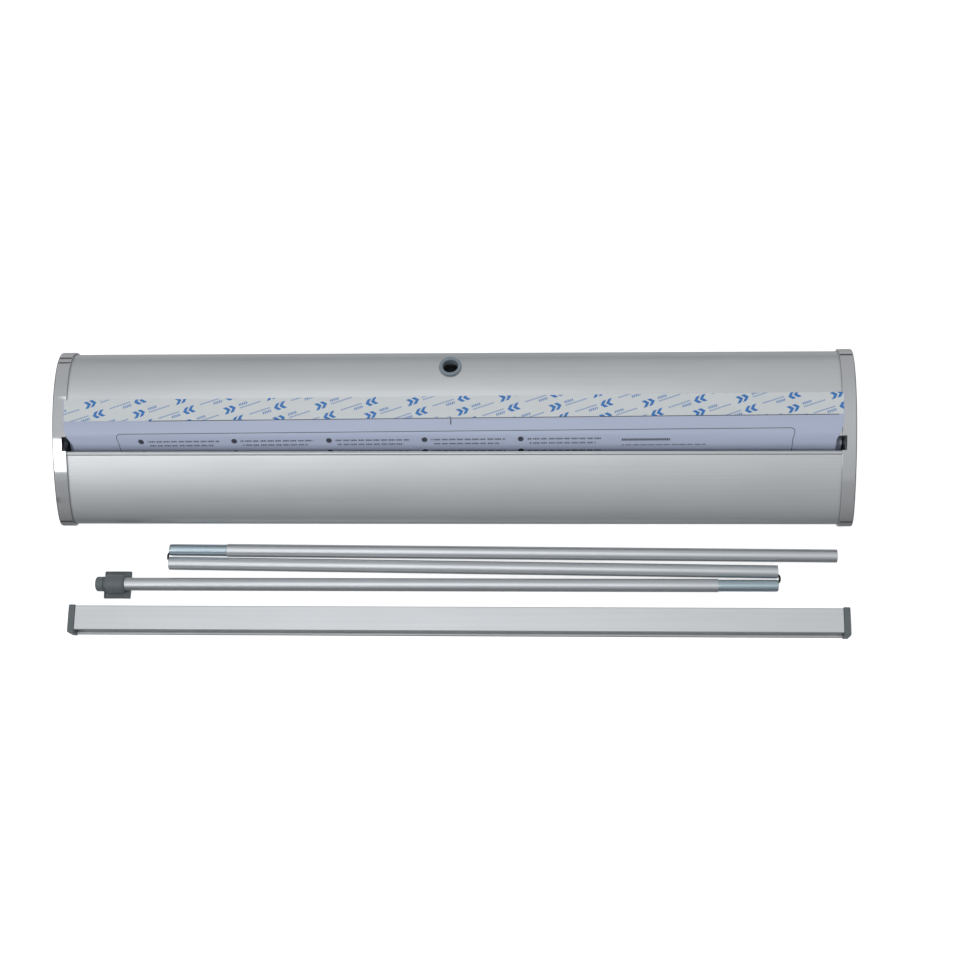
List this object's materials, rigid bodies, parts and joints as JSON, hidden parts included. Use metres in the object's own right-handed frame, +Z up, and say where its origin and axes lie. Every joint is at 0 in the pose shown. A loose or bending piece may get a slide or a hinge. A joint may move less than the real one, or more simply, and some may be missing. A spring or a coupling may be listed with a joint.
{
  "type": "roll-up banner stand",
  "caption": "Roll-up banner stand as a kit: aluminium spring-roller cassette with chrome end caps and a leader film, folded shock-cord pole and a top rail.",
  "frame": {"origin": "on the floor, under the middle of the laid-out kit", "axes": "+X along the cassette, rail and pole, to the right; +Y from the rail in front to the cassette at the back; +Z up"},
  "size_m": [0.878, 0.3134, 0.0942],
  "materials": {
    "anodised_aluminium": "satin anodised",
    "rail_aluminium": "fine satin anodised",
    "chrome_cap": "polished chrome plating",
    "zinc_steel": "bright zinc plating",
    "plain_steel": "plain rolled",
    "grey_plastic": "moulded, fine satin",
    "grommet_plastic": "moulded, semi-gloss",
    "rubber": "matt",
    "leader_film": "smooth satin film",
    "tape_liner": "silicone-coated paper, printed",
    "shock_cord": "braided"
  },
  "bodies": {
    "cassette": {"rear_shell": "anodised_aluminium", "front_shell": "anodised_aluminium", "base_plate": "plain_steel", "left_end_cap": "chrome_cap", "left_bearing_plate": "plain_steel", "left_cap_screw_1": "zinc_steel", "left_cap_screw_2": "zinc_steel", "left_front_foot": "rubber", "left_rear_foot": "rubber", "right_end_cap": "chrome_cap", "right_bearing_plate": "plain_steel", "right_cap_screw_1": "zinc_steel", "right_cap_screw_2": "zinc_steel", "right_front_foot": "rubber", "right_rear_foot": "rubber", "pole_grommet": "grommet_plastic", "pole_socket_tube": "plain_steel", "pole_socket_foot": "grey_plastic", "pin_clip_1": "grey_plastic", "pin_clip_2": "grey_plastic", "left_axle": "plain_steel", "tension_shaft": "plain_steel", "roller_spring": "plain_steel", "leader_film": "leader_film"},
    "roller": {"roller_tube": "anodised_aluminium", "leader_roll": "leader_film", "left_roller_plug": "grey_plastic", "right_roller_plug": "grey_plastic"},
    "leader_edge": {"adhesive_tape": "tape_liner"},
    "locking_pin": {"locking_pin": "zinc_steel"},
    "pole_bottom": {"bottom_ferrule": "zinc_steel", "pole_bottom_tube": "anodised_aluminium", "cord_in_bottom_tube": "shock_cord", "bottom_cord_anchor": "grey_plastic"},
    "lower_fold": {"lower_cord_bend_rear_half": "shock_cord"},
    "pole_middle": {"pole_middle_tube": "anodised_aluminium", "cord_in_middle_tube": "shock_cord", "lower_cord_bend_front_half": "shock_cord"},
    "upper_fold": {"upper_cord_bend_rear_half": "shock_cord"},
    "pole_top": {"upper_cord_bend_front_half": "shock_cord", "top_ferrule": "zinc_steel", "pole_top_tube": "anodised_aluminium", "cord_in_top_tube": "shock_cord", "top_cord_anchor": "grey_plastic", "pole_head": "grey_plastic"},
    "rail": {"rail_profile": "rail_aluminium", "left_rail_cap": "grey_plastic", "right_rail_cap": "grey_plastic"}
  },
  "joints": [
    {"name": "roller_spin", "type": "hinge", "parent": "cassette", "child": "roller", "pos_m": [0, 0.05595, 0.04], "axis": [1, 0, 0], "range_deg": [0, 56.98], "deforming": ["leader_film"]},
    {"name": "leader_draw", "type": "slide", "parent": "cassette", "child": "leader_edge", "axis": [0, -1, 0], "range_m": [0, 0.0181]},
    {"name": "pin_slide", "type": "slide", "parent": "cassette", "child": "locking_pin", "axis": [-1, 0, 0], "range_m": [0, 0.08]},
    {"name": "pole_lift", "type": "slide", "parent": "cassette", "child": "pole_bottom", "axis": [0, 0, 1], "range_m": [0, 0.3]},
    {"name": "lower_fold_shift", "type": "slide", "parent": "pole_bottom", "child": "lower_fold", "axis": [0.0098, 1, 0], "range_m": [0, 0.01545]},
    {"name": "lower_fold_swing", "type": "hinge", "parent": "lower_fold", "child": "pole_middle", "pos_m": [-0.3295, -0.06793, 0.00725], "axis": [-0.0098, -1, 0], "range_deg": [0, 179.9], "deforming": ["lower_cord_bend_rear_half", "lower_cord_bend_front_half"]},
    {"name": "upper_fold_shift", "type": "slide", "parent": "pole_middle", "child": "upper_fold", "axis": [0.0058, 1, 0], "range_m": [0, 0.01535]},
    {"name": "upper_fold_swing", "type": "hinge", "parent": "upper_fold", "child": "pole_top", "pos_m": [0.37045, -0.09166, 0.00725], "axis": [0.0058, 1, 0], "range_deg": [0, 179.9], "deforming": ["upper_cord_bend_rear_half", "upper_cord_bend_front_half"]},
    {"name": "rail_lift", "type": "slide", "parent": "cassette", "child": "rail", "axis": [0, 0, 1], "range_m": [0, 0.15]}
  ],
  "couplings": [
    {"joint": "leader_draw", "follows": "roller_spin", "m_per_rad": 0.0181},
    {"joint": "lower_fold_shift", "follows": "lower_fold_swing", "m_per_rad": 0.0048844},
    {"joint": "upper_fold_shift", "follows": "upper_fold_swing", "m_per_rad": 0.0048546}
  ]
}
